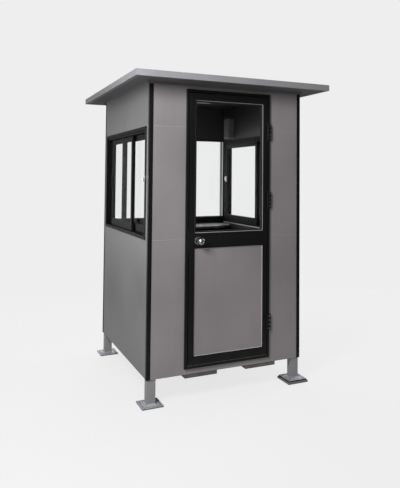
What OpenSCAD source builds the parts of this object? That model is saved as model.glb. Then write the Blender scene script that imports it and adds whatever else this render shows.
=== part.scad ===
// Security guard booth: a one-person cabin on four short legs, clad in metal composite sheet,
// with a flat overhanging roof, a glazed door in front, sliding windows in the sides and a fixed
// window in the back.
// Millimetres. X runs to the right along the front, Y to the back, Z up. The origin is on the
// ground, in the middle of the plan.

/* [Cabin] */
// Width over the wall cladding
booth_w = 1200; // [1000:10:1600]
// Depth over the wall cladding
booth_d = 1400; // [1200:10:2000]
// Height of the cladding, from its lower edge to the roof
wall_h = 2050; // [2000:10:2400]
// Height of the cladding's lower edge above the ground
ground_gap = 178; // [120:1:300]

/* [Walls] */
// Side of the square corner posts, and thickness of the wall panels between them
post_s = 66; // [55:1:80]
// Side of the square leg tubes, centred under the corner posts
leg_s = 60; // [50:1:80]
// Wall of the leg tubes
tube_t = 3; // [2:0.5:4]
// Thickness of the outer cladding sheets
clad_t = 4; // [3:0.5:6]
// Width of the open joint between two cladding sheets
clad_joint = 3; // [2:0.5:6]
// Leg width of the corner angles
corner_angle = 26; // [20:1:40]
// Sheet thickness of the corner angles and the eaves angle
angle_t = 2; // [1:0.5:3]
// Leg width of the eaves angle
eaves_angle = 18; // [12:1:30]

/* [Floor] */
// Height of the base rails, which is also the height of the strip under the door
base_h = 40; // [30:1:60]
// Width of the floor joists
joist_w = 40; // [30:1:60]
// Thickness of the floor deck
deck_t = 18; // [12:1:28]
// Width of each underfloor bearer
bearer_w = 245; // [150:5:300]
// Distance between the middles of the two bearers
bearer_pitch = 470; // [350:5:600]
// Distance from the cabin's middle to the right, to the middle between the bearers
bearer_side = 33; // [-60:1:60]
// Height of the bearers below the base rails
bearer_h = 28; // [20:1:60]

/* [Feet] */
// Base plate size, left to right
plate_x = 150; // [120:5:200]
// Base plate size, front to back
plate_y = 165; // [120:5:200]
// Thickness of the base plates
plate_t = 10; // [6:1:16]
// Radius of the anchor holes
anchor_r = 7; // [5:0.5:9]
// Distance from each hole's middle to the plate's edges
anchor_inset = 20; // [16:1:26]
// How far the packer plate reaches out past the base plate on it
packer_margin = 8; // [0:1:20]
// Thickness of the packer plate under the front right foot
packer_t = 16; // [6:1:25]

/* [Roof] */
// Overhang past the side walls
overhang_side = 150; // [60:5:300]
// Overhang past the front and back walls
overhang_end = 195; // [60:5:300]
// Thickness of the roof panel
roof_t = 40; // [30:1:80]
// Sheet thickness of the edging channel round the roof
edging_t = 2; // [1:0.5:4]
// Width of the edging channel's lips
edging_lip = 30; // [15:1:50]

/* [Windows] */
// Height of the window sills above the cladding's lower edge
sill_h = 945; // [800:5:1100]
// Height of the windows over their frames
window_h = 793; // [500:1:900]
// Face width of the side windows' heads and jambs
window_face = 38; // [30:1:60]
// Width of the raised flange along the outer edge of those faces
window_flange = 22; // [10:1:28]
// Depth of the step down from that flange
window_step = 12; // [4:1:20]
// Height of the side windows' sills
window_sill_h = 22; // [15:1:60]
// How far the window frames stand in past the walls' inner faces
window_inner = 0; // [0:1:6]
// How far the window frames stand out from the cladding
window_proud = 6; // [0:1:20]
// Width of the sash stiles
sash_stile = 32; // [25:1:50]
// Height of the sash top rails
sash_top = 34; // [25:1:60]
// Height of the sash bottom rails
sash_bottom = 55; // [30:1:70]
// Thickness of each sash
sash_t = 20; // [16:1:24]
// Distance from a frame's outer face to its outer sash
sash_setback = 30; // [4:1:30]
// Gap between the two sashes of a window, and above them
sash_clear = 4; // [2:0.5:8]
// Distance from a side window's middle forward to the middle of its meeting stiles
sash_meet = 70; // [0:1:120]
// How far the left window's outer sash is slid open
left_sash_open = 66; // [0:1:300]
// Face width of the back window's head and jambs
back_face = 10; // [8:1:40]
// Height of the back window's sill
back_sill_h = 58; // [20:1:80]
// Width of the upright bar in the back window
back_bar_w = 36; // [20:1:60]
// How far the bar stands out from the glass on each side
back_bar_d = 10; // [4:1:20]
// Distance from the bar to the jamb beside it
back_bar_at = 71; // [40:1:500]

/* [Door] */
// Width over the door frame
door_w = 664; // [600:1:760]
// Height of the wall strip above the door frame
door_head_gap = 40; // [20:1:120]
// Face width of the door frame
jamb_w = 18; // [16:1:40]
// How far the door frame stands out from the cladding
door_proud = 14; // [0:1:30]
// Gap between the leaf and the frame
leaf_gap = 5; // [4:0.5:8]
// Thickness of the leaf
leaf_t = 40; // [32:1:45]
// Width of the lock stile
lock_stile = 42; // [35:1:80]
// Width of the hinge stile
hinge_stile = 34; // [30:1:80]
// Height of the top rail
top_rail = 53; // [40:1:120]
// Height of the bottom rail
bottom_rail = 58; // [40:1:160]
// Height of the lock rail
lock_rail = 109; // [90:1:160]
// Height of the lower panel
panel_h = 755; // [500:5:1000]
// Thickness of the lower panel
panel_t = 24; // [12:1:28]
// Thickness of the panes in the door and windows
glass_t = 6; // [4:1:8]
// Side of the square glazing beads
bead = 10; // [8:1:14]
// How far the door stop reaches in past the frame's face
stop_w = 14; // [10:1:20]

/* [Hinges] */
// Length of each hinge
hinge_len = 120; // [90:1:150]
// Radius of the hinge knuckles
knuckle_r = 7; // [6:0.5:9]
// Radius of the hinge pins
pin_r = 3; // [2.5:0.5:4]
// Radial clearance of the middle knuckle on its pin
pin_clear = 0.05; // [0.02:0.01:0.1]
// Width of each hinge plate
hinge_plate = 22; // [16:1:30]
// Thickness of the hinge plates
hinge_plate_t = 4; // [2:0.5:4]
// Heights of the hinge middles above the cladding's lower edge
hinge_at = [300, 1212, 1722];

/* [Lock] */
// Distance from the leaf's edge to the knob's axis
backset = 72; // [55:1:90]
// Radius of the rosettes
rosette_r = 31; // [26:1:36]
// Thickness of the rosettes
rosette_t = 8; // [5:1:12]
// Radius of the knobs
knob_r = 26; // [20:1:30]
// Radius of the spindle that joins the knobs
spindle_r = 11; // [8:0.5:14]
// Distance from the leaf's face to a knob's outer end
knob_reach = 76; // [50:1:80]
// Radial clearance of the spindle in the rosettes
spindle_clear = 0.05; // [0.02:0.01:0.1]
// Radius of the lock's hole through the leaf
lock_hole_r = 18; // [16:0.5:22]

/* [Fittings] */
// Depth of the counter along the back wall
counter_d = 290; // [200:5:450]
// Thickness of the counter
counter_t = 25; // [18:1:40]
// Radius of the counter's rounded front corner
counter_r = 200; // [50:5:280]
// Distance from the window sills down to the counter's top
counter_drop = 6; // [2:1:60]
// Length of the box on the right wall
wall_box_l = 115; // [80:5:200]
// Height of the box on the right wall
wall_box_h = 182; // [100:2:190]
// Depth of the box on the right wall
wall_box_d = 55; // [30:5:120]
// Distance from the ceiling down to the box
wall_box_drop = 117; // [5:1:120]
// Distance from the back wall to the box
wall_box_gap = 120; // [5:5:400]
// Length of the ceiling light
light_l = 300; // [200:10:800]
// Width of the ceiling light
light_w = 60; // [40:1:120]
// Height of the ceiling light
light_h = 34; // [20:1:60]
// Distance from the ceiling's middle back to the light's middle
light_back = 65; // [0:5:200]

/* [Hidden] */

$fn = 64;
eps = 0.5;
weld = 0.2;             // gap left between separate lengths of one welded or mitred frame
half_w = booth_w / 2;
half_d = booth_d / 2;
wall_t = clad_t + post_s;
window_depth = wall_t + window_proud + window_inner;
in_x = half_w - wall_t;  // inner faces of the side walls
in_y = half_d - wall_t;  // inner faces of the front and back walls
z_low = ground_gap;
z_floor = z_low + base_h;
z_top = z_low + wall_h;
z_sill = z_low + sill_h;
z_head = z_sill + window_h;
shell_x = half_w - clad_t;
shell_y = half_d - clad_t;

frame_out = -half_d - door_proud;
frame_x = door_w / 2;
leaf_x0 = -frame_x + jamb_w + leaf_gap;
leaf_x1 = frame_x - jamb_w - leaf_gap;
door_top = z_top - door_head_gap;
leaf_z0 = z_floor + deck_t + leaf_gap;
leaf_z1 = door_top - jamb_w - leaf_gap;
panel_z0 = leaf_z0 + bottom_rail;
panel_z1 = panel_z0 + panel_h;
glass_z0 = panel_z1 + lock_rail;
glass_z1 = leaf_z1 - top_rail;
pane_x0 = leaf_x0 + lock_stile;
pane_x1 = leaf_x1 - hinge_stile;
leaf_mid = frame_out + leaf_t / 2;
hinge_x = (leaf_x1 + frame_x - jamb_w) / 2;
hinge_y = frame_out - knuckle_r - 1;
hinge_web = knuckle_r + 1.5;
knob_x = leaf_x0 + backset;
knob_z = (panel_z1 + glass_z0) / 2;
roof_x = half_w + overhang_side;
roof_y = half_d + overhang_end;

// A box between two opposite corners
module block(low, high) {
    translate(low) cube(high - low);
}

// Places a wall piece drawn for the front wall on another side of the cabin
module to_left() { rotate(-90) children(); }
module to_right() { rotate(90) children(); }
module to_back() { rotate(180) children(); }

// ---------------------------------------------------------------- floor and feet

module floor_deck() {
    color([0.30, 0.29, 0.28]) block([-in_x, -in_y, z_floor], [in_x, in_y, z_floor + deck_t]);
}

// Rails round the edge with three joists between them
module base_frame() {
    side_y = shell_y - post_s - weld;
    joist_x = shell_x - post_s - weld;
    color([0.32, 0.32, 0.33]) {
        for (side = [-1, 1]) {
            front = side < 0 ? -shell_y : shell_y - post_s;
            block([-shell_x, front, z_low], [shell_x, front + post_s, z_floor]);
            left = side < 0 ? -shell_x : shell_x - post_s;
            block([left, -side_y, z_low], [left + post_s, side_y, z_floor]);
        }
        for (i = [-1, 0, 1])
            block([-joist_x, i * booth_d / 4 - joist_w / 2, z_low],
                [joist_x, i * booth_d / 4 + joist_w / 2, z_floor]);
    }
}

module underfloor_bearers() {
    color([0.27, 0.26, 0.26])
        for (side = [-1, 1]) {
            middle = bearer_side + side * bearer_pitch / 2;
            block([middle - bearer_w / 2, -shell_y, z_low - bearer_h],
                [middle + bearer_w / 2, shell_y, z_low]);
        }
}

// Vertical holes of one anchor pattern
module anchor_holes(low, high) {
    for (sx = [-1, 1], sy = [-1, 1])
        translate([sx * (plate_x / 2 - anchor_inset), sy * (plate_y / 2 - anchor_inset), low])
            cylinder(r = anchor_r, h = high - low);
}

// Tube with a welded base plate, open at the top where the base rail covers it
module leg(side_x, side_y, lift) {
    plate_top = lift + plate_t;
    translate([side_x * (shell_x - post_s / 2), side_y * (shell_y - post_s / 2), 0])
        difference() {
            union() {
                block([-plate_x / 2, -plate_y / 2, lift], [plate_x / 2, plate_y / 2, plate_top]);
                block([-leg_s / 2, -leg_s / 2, lift], [leg_s / 2, leg_s / 2, z_low]);
            }
            block([tube_t - leg_s / 2, tube_t - leg_s / 2, plate_top],
                [leg_s / 2 - tube_t, leg_s / 2 - tube_t, z_low + eps]);
            anchor_holes(lift - eps, plate_top + eps);
        }
}

module leg_front_left() { color([0.48, 0.49, 0.51]) leg(-1, -1, 0); }
module leg_front_right() { color([0.48, 0.49, 0.51]) leg(1, -1, packer_t); }
module leg_back_left() { color([0.48, 0.49, 0.51]) leg(-1, 1, 0); }
module leg_back_right() { color([0.48, 0.49, 0.51]) leg(1, 1, 0); }

module foot_packer() {
    half_x = plate_x / 2 + packer_margin;
    half_y = plate_y / 2 + packer_margin;
    color([0.42, 0.42, 0.41])
        translate([shell_x - post_s / 2, post_s / 2 - shell_y, 0])
            difference() {
                block([-half_x, -half_y, 0], [half_x, half_y, packer_t]);
                anchor_holes(-eps, packer_t + eps);
            }
}

// ---------------------------------------------------------------- walls

module corner_posts() {
    color([0.16, 0.16, 0.17])
        for (side_x = [-1, 1], side_y = [-1, 1])
            translate([side_x * (shell_x - post_s / 2), side_y * (shell_y - post_s / 2), z_floor])
                translate([-post_s / 2, -post_s / 2, 0]) cube([post_s, post_s, z_top - z_floor]);
}

// Angles that wrap the cladding's corners, up to the eaves angle
module corner_trims() {
    color([0.10, 0.10, 0.11])
        for (side_x = [-1, 1], side_y = [-1, 1])
            to_corner(side_x, side_y)
                difference() {
                    block([half_w - corner_angle, half_d - corner_angle, z_low],
                        [half_w + angle_t, half_d + angle_t, z_top - eaves_angle - weld]);
                    block([0, 0, z_low - eps], [half_w, half_d, z_top + eps]);
                }
}

// Mirrors a piece drawn at +X +Y into one of the four quarters
module to_corner(side_x, side_y) {
    mirror([side_x < 0 ? 1 : 0, 0, 0]) mirror([0, side_y < 0 ? 1 : 0, 0]) children();
}

module front_wall_left() {
    color([0.12, 0.12, 0.13]) block([-in_x, -shell_y, z_floor], [-frame_x, -in_y, z_top]);
}

module front_wall_right() {
    color([0.12, 0.12, 0.13]) block([frame_x, -shell_y, z_floor], [in_x, -in_y, z_top]);
}

module front_wall_header() {
    color([0.12, 0.12, 0.13]) block([-frame_x, -shell_y, door_top], [frame_x, -in_y, z_top]);
}

// Panels below and above a window, drawn for the front wall
module window_wall(half_span, reach) {
    color([0.12, 0.12, 0.13]) {
        block([-half_span, clad_t - reach, z_floor], [half_span, wall_t - reach, z_sill]);
        block([-half_span, clad_t - reach, z_head], [half_span, wall_t - reach, z_top]);
    }
}

module left_wall() { to_left() window_wall(in_y, half_w); }
module right_wall() { to_right() window_wall(in_y, half_w); }
module back_wall() { to_back() window_wall(in_x, half_d); }

// Three sheets one above another, with joints level with the window frames
module sheet_column(x0, x1, reach) {
    gap = clad_joint / 2;
    block([x0, -reach, z_low], [x1, clad_t - reach, z_sill - gap]);
    block([x0, -reach, z_sill + gap], [x1, clad_t - reach, z_head - gap]);
    block([x0, -reach, z_head + gap], [x1, clad_t - reach, z_top]);
}

module front_cladding() {
    color([0.53, 0.52, 0.53]) {
        sheet_column(-half_w, -frame_x, half_d);
        sheet_column(frame_x, half_w, half_d);
        block([-frame_x + clad_joint, -half_d, door_top], [frame_x - clad_joint, -shell_y, z_top]);
    }
}

// Sheets below and above a window, with a strip on each side of it
module window_cladding(half_span, half_window, reach) {
    gap = clad_joint / 2;
    color([0.50, 0.50, 0.51]) {
        block([-half_span, -reach, z_low], [half_span, clad_t - reach, z_sill - gap]);
        block([-half_span, -reach, z_head + gap], [half_span, clad_t - reach, z_top]);
        for (side = [-1, 1]) {
            x0 = side < 0 ? -half_span : half_window;
            block([x0, -reach, z_sill + gap],
                [x0 + half_span - half_window, clad_t - reach, z_head - gap]);
        }
    }
}

module left_cladding() { to_left() window_cladding(shell_y, in_y, half_w); }
module right_cladding() { to_right() window_cladding(shell_y, in_y, half_w); }
module back_cladding() { to_back() window_cladding(half_w, in_x, half_d); }

// ---------------------------------------------------------------- roof

module roof_panel() {
    color([0.28, 0.28, 0.29])
        block([edging_t - roof_x, edging_t - roof_y, z_top],
            [roof_x - edging_t, roof_y - edging_t, z_top + roof_t]);
}

// Channel folded round the roof panel's edge, mitred at the corners
module roof_edging() {
    low = z_top - edging_t;
    high = z_top + roof_t + edging_t;
    lip_x = roof_x - edging_lip;
    lip_y = roof_y - edging_lip;
    mitre = roof_x + roof_y;
    color([0.62, 0.62, 0.63])
        difference() {
            block([-roof_x, -roof_y, low], [roof_x, roof_y, high]);
            block([edging_t - roof_x, edging_t - roof_y, z_top],
                [roof_x - edging_t, roof_y - edging_t, z_top + roof_t]);
            block([-lip_x, -lip_y, low - eps], [lip_x, lip_y, high + eps]);
            for (side_x = [-1, 1], side_y = [-1, 1])
                translate([side_x * roof_x, side_y * roof_y, low - eps])
                    rotate(side_x * side_y * 45)
                        translate([-mitre / 8, -weld, 0])
                            cube([mitre / 4, 2 * weld, high - low + 2 * eps]);
        }
}

// Angles under the roof, against the cladding's top edge
module eaves_trim() {
    color([0.45, 0.45, 0.46])
        for (quarter = [0 : 3]) {
            reach = quarter % 2 == 0 ? half_d : half_w;
            span = (quarter % 2 == 0 ? half_w + eaves_angle : half_d - weld);
            rotate(quarter * 90) {
                difference() {
                    block([-span, -reach - eaves_angle, z_top - eaves_angle], [span, -reach, z_top]);
                    block([-span - eps, -reach - eaves_angle - eps, z_top - eaves_angle - eps],
                        [span + eps, -reach - angle_t, z_top - angle_t]);
                }
            }
        }
}

// ---------------------------------------------------------------- windows

// A rectangular ring lying in a wall drawn for the front
module ring(x0, x1, z0, z1, y0, y1, left, right, bottom, top) {
    difference() {
        block([x0, y0, z0], [x1, y1, z1]);
        block([x0 + left, y0 - eps, z0 + bottom], [x1 - right, y1 + eps, z1 - top]);
    }
}

// Frame of a sliding window, with a raised flange along its outer edge
module window_frame(half_span, reach) {
    outer = -reach - window_proud;
    color([0.11, 0.11, 0.12])
        difference() {
            ring(-half_span, half_span, z_sill, z_head, outer, outer + window_depth,
                window_face, window_face, window_sill_h, window_face);
            block([window_flange - half_span, outer - eps, z_sill + window_sill_h],
                [half_span - window_flange, outer + window_step, z_head - window_flange]);
        }
}

// Front faces of the outer and inner sashes, tracks 0 and 1
function sash_y(reach, track) =
    -reach - window_proud + sash_setback + track * (sash_t + sash_clear);
// Left edges and widths of the two sashes, which overlap by one stile at the meeting place
function sash_x(half_span, meet, slid, track) =
    track == 0 ? window_face - half_span + slid : meet - sash_stile / 2;
function sash_w(half_span, meet, track) =
    half_span - window_face + sash_stile / 2 + (track == 0 ? meet : -meet);

module window_sashes(half_span, reach, meet, slid) {
    color([0.14, 0.14, 0.15])
        for (track = [0, 1]) {
            x0 = sash_x(half_span, meet, slid, track);
            y0 = sash_y(reach, track);
            ring(x0, x0 + sash_w(half_span, meet, track), z_sill + window_sill_h,
                z_head - window_face - sash_clear,
                y0, y0 + sash_t, sash_stile, sash_stile, sash_bottom, sash_top);
        }
}

module window_glass(half_span, reach, meet, slid) {
    color([0.75, 0.85, 0.88, 0.35])
        for (track = [0, 1]) {
            x0 = sash_x(half_span, meet, slid, track) + sash_stile;
            y0 = sash_y(reach, track) + (sash_t - glass_t) / 2;
            block([x0, y0, z_sill + window_sill_h + sash_bottom],
                [x0 + sash_w(half_span, meet, track) - 2 * sash_stile, y0 + glass_t,
                    z_head - window_face - sash_clear - sash_top]);
        }
}

module left_window_frame() { to_left() window_frame(in_y, half_w); }
module left_window_sashes() { to_left() window_sashes(in_y, half_w, sash_meet, left_sash_open); }
module left_window_glass() { to_left() window_glass(in_y, half_w, sash_meet, left_sash_open); }
module right_window_frame() { to_right() window_frame(in_y, half_w); }
module right_window_sashes() { to_right() window_sashes(in_y, half_w, -sash_meet, 0); }
module right_window_glass() { to_right() window_glass(in_y, half_w, -sash_meet, 0); }

back_out = -half_d - window_proud;                    // outer face of the back window's frame
back_bar_x = in_x - back_face - back_bar_at - back_bar_w;
back_glass_y = back_out + (window_depth - glass_t) / 2;

module back_window_frame() {
    color([0.11, 0.11, 0.12])
        to_back()
            ring(-in_x, in_x, z_sill, z_head, back_out, back_out + window_depth,
                back_face, back_face, back_sill_h, back_face);
}

module back_window_bar() {
    color([0.14, 0.14, 0.15])
        to_back()
            block([back_bar_x, back_glass_y - back_bar_d, z_sill + back_sill_h],
                [back_bar_x + back_bar_w, back_glass_y + glass_t + back_bar_d, z_head - back_face]);
}

module back_window_glass() {
    color([0.75, 0.85, 0.88, 0.35])
        to_back()
            for (pane = [[back_face - in_x, back_bar_x], [back_bar_x + back_bar_w, in_x - back_face]])
                block([pane[0], back_glass_y, z_sill + back_sill_h],
                    [pane[1], back_glass_y + glass_t, z_head - back_face]);
}

// ---------------------------------------------------------------- door

// Frame with a stop behind the leaf, and a threshold level with the floor deck
module door_frame() {
    stop_y = frame_out + leaf_t + leaf_gap;
    color([0.10, 0.10, 0.11])
        difference() {
            block([-frame_x, frame_out, z_floor], [frame_x, -in_y, door_top]);
            block([jamb_w - frame_x, frame_out - eps, z_floor + deck_t],
                [frame_x - jamb_w, stop_y, door_top - jamb_w]);
            block([jamb_w + stop_w - frame_x, frame_out - eps, z_floor + deck_t],
                [frame_x - jamb_w - stop_w, eps - in_y, door_top - jamb_w - stop_w]);
        }
}

module door_kick_strip() {
    color([0.50, 0.49, 0.50])
        block([clad_joint - frame_x, -half_d, z_low], [frame_x - clad_joint, -shell_y, z_floor]);
}

module door_leaf() {
    color([0.10, 0.10, 0.11])
        difference() {
            block([leaf_x0, frame_out, leaf_z0], [leaf_x1, frame_out + leaf_t, leaf_z1]);
            block([pane_x0, frame_out - eps, panel_z0],
                [pane_x1, frame_out + leaf_t + eps, panel_z1]);
            block([pane_x0, frame_out - eps, glass_z0],
                [pane_x1, frame_out + leaf_t + eps, glass_z1]);
            translate([knob_x, frame_out - eps, knob_z]) rotate([-90, 0, 0])
                cylinder(r = lock_hole_r, h = leaf_t + 2 * eps);
        }
}

module door_glass() {
    color([0.75, 0.85, 0.88, 0.35])
        block([pane_x0, leaf_mid - glass_t / 2, glass_z0], [pane_x1, leaf_mid + glass_t / 2, glass_z1]);
}

// Beads that hold the pane, inside and outside
module door_beads() {
    color([0.20, 0.20, 0.21])
        for (side = [-1, 1]) {
            y0 = side < 0 ? leaf_mid - glass_t / 2 - bead : leaf_mid + glass_t / 2;
            ring(pane_x0, pane_x1, glass_z0, glass_z1, y0, y0 + bead, bead, bead, bead, bead);
        }
}

module door_panel() {
    color([0.47, 0.46, 0.47])
        block([pane_x0, leaf_mid - panel_t / 2, panel_z0], [pane_x1, leaf_mid + panel_t / 2, panel_z1]);
}

// ---------------------------------------------------------------- hinges and lock

knuckle_len = (hinge_len - 1) / 3;   // three knuckles with half a millimetre between them

// Knuckle number 0, 1 or 2 from the bottom, with its web to a plate on the given side
module knuckle(number, side) {
    low = number * (knuckle_len + 0.5);
    translate([0, 0, low]) cylinder(r = knuckle_r, h = knuckle_len);
    x0 = side < 0 ? -hinge_web - 1 : 0;
    translate([x0, knuckle_r + 1 - hinge_plate_t, low])
        cube([hinge_web + 1, hinge_plate_t, knuckle_len]);
}

module hinge_half_plate(side) {
    x0 = side < 0 ? -hinge_web - hinge_plate : hinge_web;
    translate([x0, knuckle_r + 1 - hinge_plate_t, 0]) cube([hinge_plate, hinge_plate_t, hinge_len]);
}

module at_hinges() {
    for (height = hinge_at)
        translate([hinge_x, hinge_y, z_low + height - hinge_len / 2]) children();
}

module hinges_frame() {
    color([0.09, 0.09, 0.10])
        at_hinges() {
            hinge_half_plate(1);
            knuckle(0, 1);
            knuckle(2, 1);
            cylinder(r = pin_r, h = hinge_len);
        }
}

module hinges_door() {
    color([0.09, 0.09, 0.10])
        at_hinges()
            difference() {
                union() {
                    hinge_half_plate(-1);
                    knuckle(1, -1);
                }
                translate([0, 0, -eps]) cylinder(r = pin_r + pin_clear, h = hinge_len + 2 * eps);
            }
}

// Draws a lock part along its axis, with z = 0 on the leaf's outer or inner face
module at_lock(side) {
    face = side < 0 ? frame_out : frame_out + leaf_t;
    translate([knob_x, face, knob_z]) rotate([side < 0 ? 90 : -90, 0, 0]) children();
}

module lock_rosettes() {
    color([0.78, 0.78, 0.78])
        for (side = [-1, 1])
            at_lock(side)
                difference() {
                    rotate_extrude()
                        polygon([[0, 0], [rosette_r, 0], [rosette_r, rosette_t / 3],
                            [rosette_r - rosette_t / 2, rosette_t], [0, rosette_t]]);
                    translate([0, 0, -eps])
                        cylinder(r = spindle_r + spindle_clear, h = rosette_t + 2 * eps);
                }
}

// Two round knobs on one spindle
module door_knob() {
    color([0.80, 0.80, 0.80]) {
        for (side = [-1, 1])
            at_lock(side)
                rotate_extrude()
                    difference() {
                        union() {
                            translate([0, knob_reach - knob_r]) circle(r = knob_r);
                            translate([0, -eps]) square([spindle_r, knob_reach - knob_r]);
                        }
                        translate([-knob_r - eps, -leaf_t])
                            square([knob_r + eps, leaf_t + 2 * knob_reach]);
                        translate([0, knob_reach - 4]) square([knob_r, knob_r]);
                    }
        translate([knob_x, frame_out - eps, knob_z]) rotate([-90, 0, 0])
            cylinder(r = spindle_r, h = leaf_t + 2 * eps);
    }
}

// ---------------------------------------------------------------- inside

module counter() {
    front = in_y - counter_d;
    top = z_sill - counter_drop;
    color([0.16, 0.16, 0.17])
        translate([0, 0, top - counter_t])
            linear_extrude(counter_t)
                difference() {
                    translate([-in_x, front]) square([2 * in_x, counter_d]);
                    difference() {
                        translate([in_x - counter_r, front - eps]) square(counter_r + eps);
                        translate([in_x - counter_r, front + counter_r]) circle(r = counter_r);
                    }
                }
}

module wall_box() {
    top = z_top - wall_box_drop;
    back = in_y - wall_box_gap;
    color([0.22, 0.22, 0.23])
        block([in_x - wall_box_d, back - wall_box_l, top - wall_box_h], [in_x, back, top]);
}

module ceiling_light() {
    color([0.90, 0.90, 0.88])
        translate([0, light_back, z_top - light_h])
            block([-light_l / 2, -light_w / 2, 0], [light_l / 2, light_w / 2, light_h]);
}

floor_deck();
base_frame();
underfloor_bearers();
leg_front_left();
leg_front_right();
leg_back_left();
leg_back_right();
foot_packer();
corner_posts();
corner_trims();
front_wall_left();
front_wall_right();
front_wall_header();
left_wall();
right_wall();
back_wall();
front_cladding();
left_cladding();
right_cladding();
back_cladding();
roof_panel();
roof_edging();
eaves_trim();
left_window_frame();
left_window_sashes();
left_window_glass();
right_window_frame();
right_window_sashes();
right_window_glass();
back_window_frame();
back_window_bar();
back_window_glass();
door_frame();
door_kick_strip();
hinges_frame();
door_leaf();
door_glass();
door_beads();
door_panel();
hinges_door();
lock_rosettes();
door_knob();
counter();
wall_box();
ceiling_light();
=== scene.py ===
import math

import bmesh
import bpy
from mathutils import Matrix, Vector


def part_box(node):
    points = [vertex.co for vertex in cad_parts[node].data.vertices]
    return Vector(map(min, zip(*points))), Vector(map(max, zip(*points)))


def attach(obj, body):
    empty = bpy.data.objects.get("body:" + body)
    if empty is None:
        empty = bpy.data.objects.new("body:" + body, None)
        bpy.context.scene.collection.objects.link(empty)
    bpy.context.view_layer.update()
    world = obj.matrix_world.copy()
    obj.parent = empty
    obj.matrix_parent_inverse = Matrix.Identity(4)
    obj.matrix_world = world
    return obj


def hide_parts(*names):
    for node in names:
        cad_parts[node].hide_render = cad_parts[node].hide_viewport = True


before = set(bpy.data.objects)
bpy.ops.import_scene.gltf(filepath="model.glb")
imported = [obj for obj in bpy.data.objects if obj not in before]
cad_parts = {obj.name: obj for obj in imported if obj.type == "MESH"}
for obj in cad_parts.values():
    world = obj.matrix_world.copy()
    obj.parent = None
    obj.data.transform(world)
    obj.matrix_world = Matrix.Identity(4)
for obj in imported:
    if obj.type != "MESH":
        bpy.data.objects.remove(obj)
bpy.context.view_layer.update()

# ---- the frame's own sizes

CLAD_LOW, CLAD_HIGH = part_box("front_cladding")
HALF_W = CLAD_HIGH[0]
HALF_D = -CLAD_LOW[1]
Z_LOW, Z_TOP = CLAD_LOW[2], CLAD_HIGH[2]
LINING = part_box("left_wall")[1][0]              # inner face of the left wall
MM = 0.001
PLATE_T = 0.010                                 # the leg plates' thickness

SIDES = ("left", "right")

# Where a point of a wall lies: u to the right as seen from outside, v up, w out of the cladding
WALLS = {
    "front": lambda u, v, w: Vector((u, -HALF_D - w, v)),
    "left": lambda u, v, w: Vector((-HALF_W - w, -u, v)),
    "right": lambda u, v, w: Vector((HALF_W + w, u, v)),
    "back": lambda u, v, w: Vector((-u, HALF_D + w, v)),
}


def corners(node):
    """Every vertex of a node, in metres."""
    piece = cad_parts[node]
    return [piece.matrix_world @ v.co for v in piece.data.vertices]


def lumps(node, axis, gap=0.003):
    """The boxes round a node's vertices, in groups that lie more than the gap apart on one axis."""
    points = sorted(corners(node), key=lambda p: p[axis])
    groups = [[points[0]]]
    for before, point in zip(points, points[1:]):
        if point[axis] - before[axis] > gap:
            groups.append([])
        groups[-1].append(point)
    return [tuple(Vector(pick(p[i] for p in group) for i in range(3)) for pick in (min, max))
            for group in groups]


# ---- node helpers

def new_material(name):
    """A material with its node tree and its Principled shader."""
    material = bpy.data.materials.new(name)
    material.use_nodes = True
    return material, material.node_tree, material.node_tree.nodes["Principled BSDF"]


def add(tree, kind, inputs=None, **settings):
    """A node of one kind, with its settings, and its inputs as values or links."""
    node = tree.nodes.new("ShaderNode" + kind)
    for key, value in settings.items():
        setattr(node, key, value)
    for key, value in (inputs or {}).items():
        if isinstance(value, bpy.types.NodeSocket):
            tree.links.new(value, node.inputs[key])
        else:
            node.inputs[key].default_value = value
    return node


def grey(value):
    return (value, value, value, 1.0)


def shade_of(colour, share=1.0):
    """A colour made lighter or darker by a share, with its alpha."""
    return tuple(c * share for c in colour) + (1.0,)


def wire(tree, shader, base, rough, normal):
    """Links a material's colour, roughness and normal to its shader."""
    for socket, value in (("Base Color", base), ("Roughness", rough), ("Normal", normal)):
        tree.links.new(value, shader.inputs[socket])


def position(tree, scale=(1, 1, 1)):
    """The point in the object's frame, in metres, stretched by scale."""
    coords = add(tree, "TexCoord").outputs["Object"]
    return add(tree, "Mapping", {"Vector": coords, "Scale": scale}).outputs["Vector"]


def noise(tree, vector, scale, detail=3.0, rough=0.5):
    return add(tree, "TexNoise", {"Vector": vector, "Scale": scale, "Detail": detail,
                                  "Roughness": rough}).outputs["Fac"]


def remap(tree, value, low, high, to_low=0.0, to_high=1.0):
    return add(tree, "MapRange", {"Value": value, "From Min": low, "From Max": high,
                                  "To Min": to_low, "To Max": to_high}).outputs["Result"]


def combine(tree, how, a, b):
    return add(tree, "Math", {0: a, 1: b}, operation=how).outputs["Value"]


def blend(tree, fac, a, b):
    """Two colours mixed by fac."""
    node = add(tree, "Mix", data_type="RGBA")
    for socket, value in (("Factor", fac), ("A", a), ("B", b)):
        target = next(s for s in node.inputs if s.name == socket and s.enabled)
        if isinstance(value, bpy.types.NodeSocket):
            tree.links.new(value, target)
        else:
            target.default_value = value
    return next(s for s in node.outputs if s.enabled)


def bump(tree, height, distance, strength=1.0, normal=None):
    inputs = {"Height": height, "Distance": distance, "Strength": strength}
    if normal is not None:
        inputs["Normal"] = normal
    return add(tree, "Bump", inputs).outputs["Normal"]


def mix_surface(tree, share, shader, other):
    """Makes the surface a mix of two shaders."""
    mix = add(tree, "MixShader", {0: share, 1: shader.outputs["BSDF"], 2: other.outputs["BSDF"]})
    tree.links.new(mix.outputs["Shader"], tree.nodes["Material Output"].inputs["Surface"])


def height_above(tree):
    """Height above the ground, in metres."""
    return add(tree, "SeparateXYZ", {"Vector": position(tree)}).outputs["Z"]


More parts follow.
